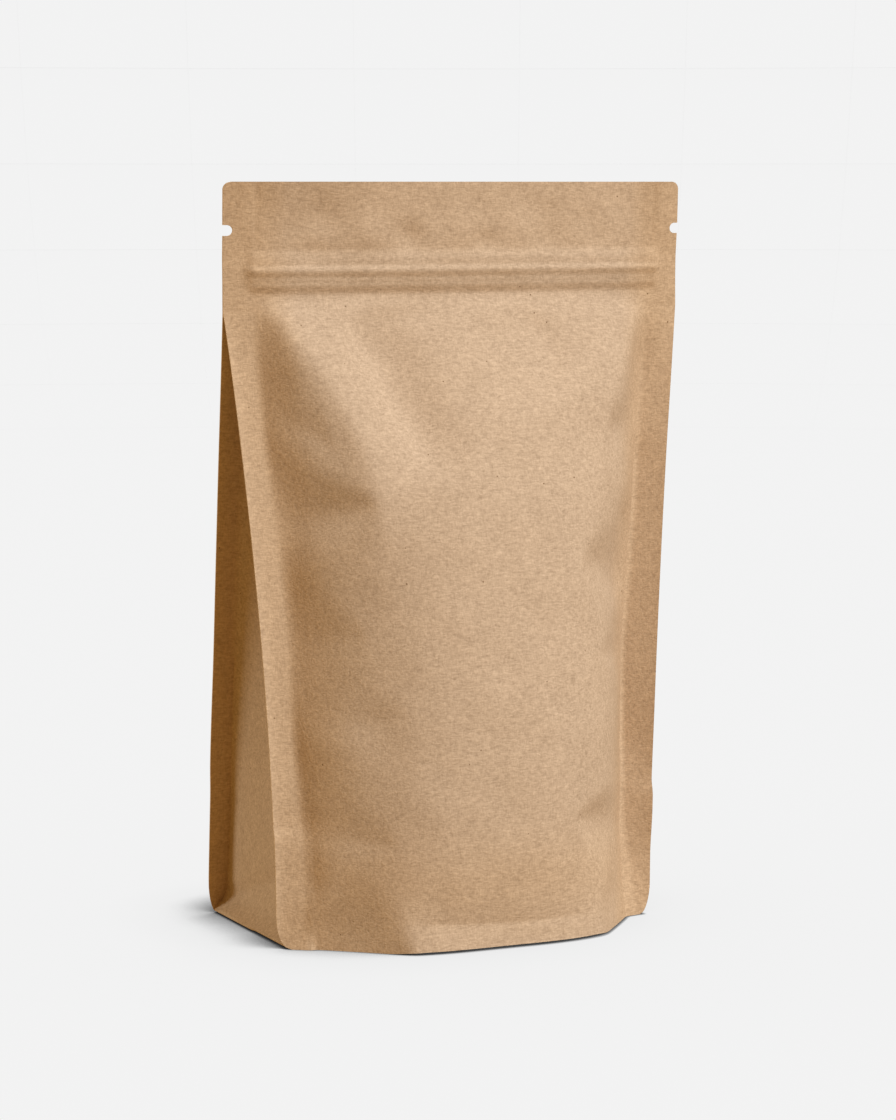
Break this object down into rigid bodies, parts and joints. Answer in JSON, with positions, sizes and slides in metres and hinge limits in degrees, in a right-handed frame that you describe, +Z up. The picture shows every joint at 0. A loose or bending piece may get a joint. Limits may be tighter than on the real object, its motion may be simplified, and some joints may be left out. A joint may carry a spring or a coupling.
{
  "type": "stand-up pouch",
  "caption": "Filled, shut stand-up paper pouch with a rounded front and back, folded-in sides between seal fins, and a flat header with a press-to-close strip and tear notches.",
  "frame": {"origin": "middle of the pouch's bounding box, at the level of the floor it stands on", "axes": "+Z up through the header, -Y out of the front panel, +X to the right when looking at the front"},
  "size_m": [0.152, 0.107, 0.2286],
  "materials": {
    "kraft_paper": "matt uncoated brown kraft paper"
  },
  "bodies": {
    "root": {"pouch": "kraft_paper"}
  },
  "joints": []
}
